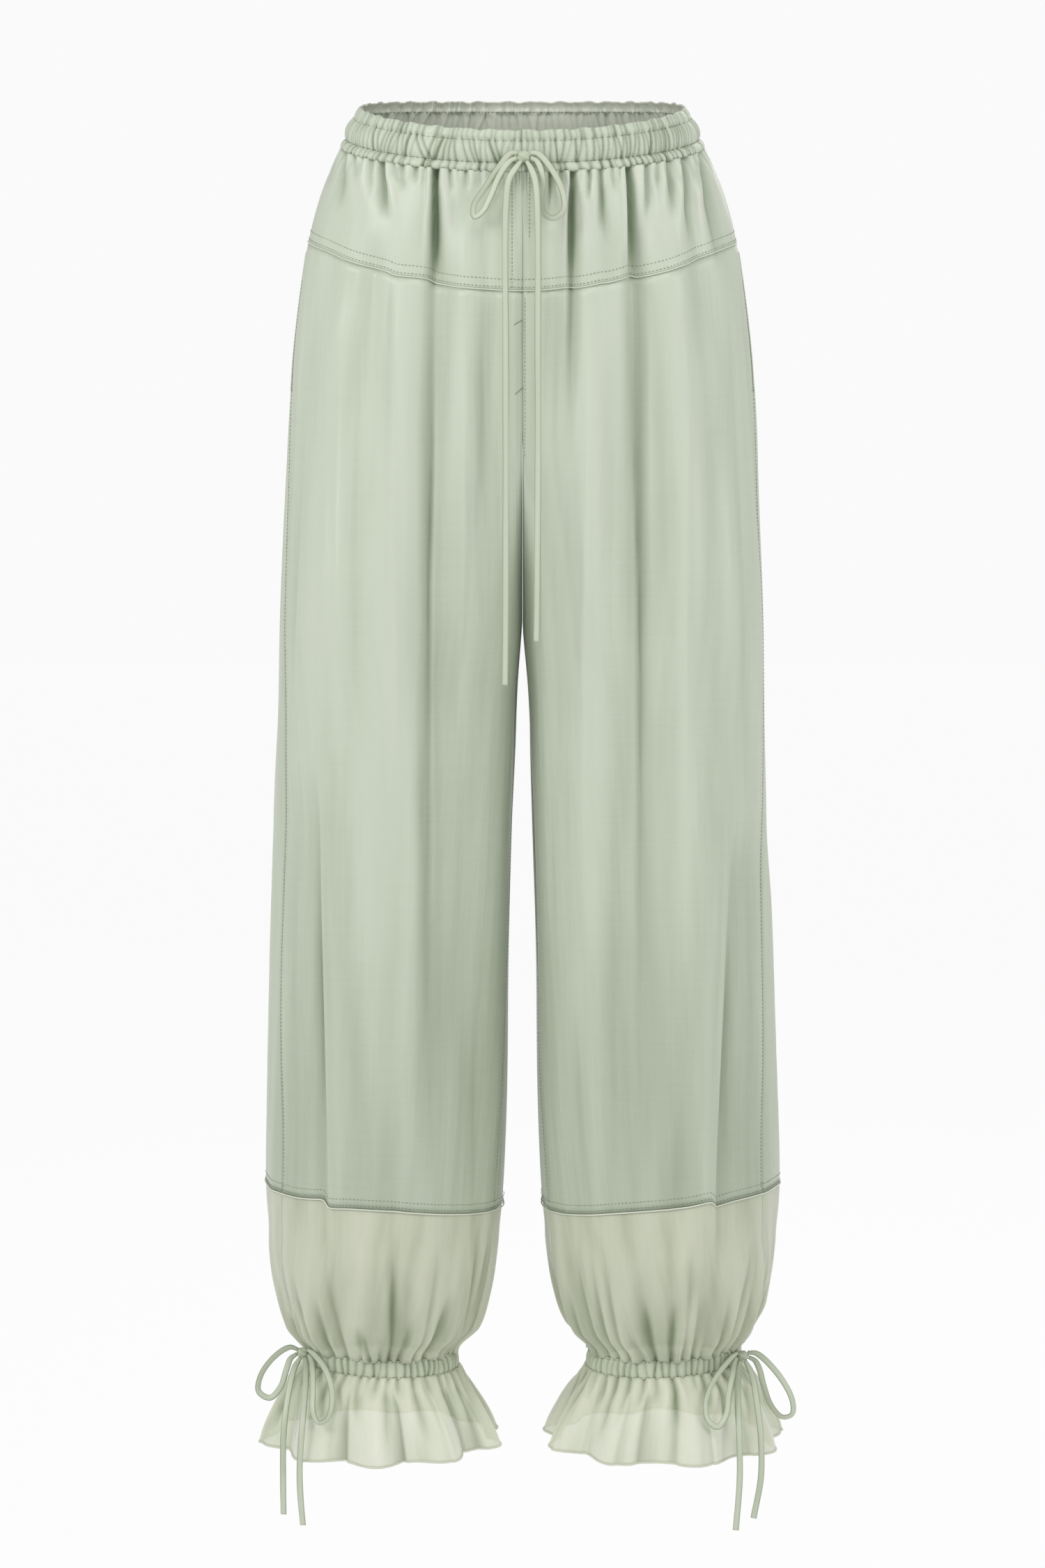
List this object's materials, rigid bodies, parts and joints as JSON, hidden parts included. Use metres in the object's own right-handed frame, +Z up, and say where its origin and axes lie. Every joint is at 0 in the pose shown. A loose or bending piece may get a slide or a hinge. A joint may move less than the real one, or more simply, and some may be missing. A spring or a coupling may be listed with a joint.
{
  "type": "balloon pants",
  "caption": "Long satin balloon pants with a gathered drawstring waist, a yoke, sheer ankle panels drawn in by tied casings, and flounced hems.",
  "frame": {"origin": "on the body's axis at the height of the waistband's front edge, where a wearer holds the pants up", "axes": "+Z up along the body, -Y towards the front of the pants, +X towards the viewer's right"},
  "size_m": [0.4218, 0.232, 1.0975],
  "materials": {
    "satin": "soft satin, sage green",
    "sheer": "sheer chiffon, pale sage green",
    "tie": "narrow satin tube, sage green"
  },
  "bodies": {
    "root": {"waistband": "satin", "yoke_front_left": "satin", "leg_front_left": "satin", "sheer_front_left": "sheer", "yoke_back_left": "satin", "leg_back_left": "satin", "sheer_back_left": "sheer", "ankle_casing_left": "satin", "flounce_left": "sheer", "yoke_front_right": "satin", "leg_front_right": "satin", "sheer_front_right": "sheer", "yoke_back_right": "satin", "leg_back_right": "satin", "sheer_back_right": "sheer", "ankle_casing_right": "satin", "flounce_right": "sheer", "waist_knot": "tie", "ankle_knot_left": "tie", "ankle_knot_right": "tie", "waist_loop_left": "tie", "waist_loop_right": "tie", "waist_tail_left": "tie", "waist_tail_right": "tie", "ankle_left_loop_outer": "tie", "ankle_left_loop_inner": "tie", "ankle_left_tail_outer": "tie", "ankle_left_tail_inner": "tie", "ankle_right_loop_outer": "tie", "ankle_right_loop_inner": "tie", "ankle_right_tail_outer": "tie", "ankle_right_tail_inner": "tie"}
  },
  "joints": []
}
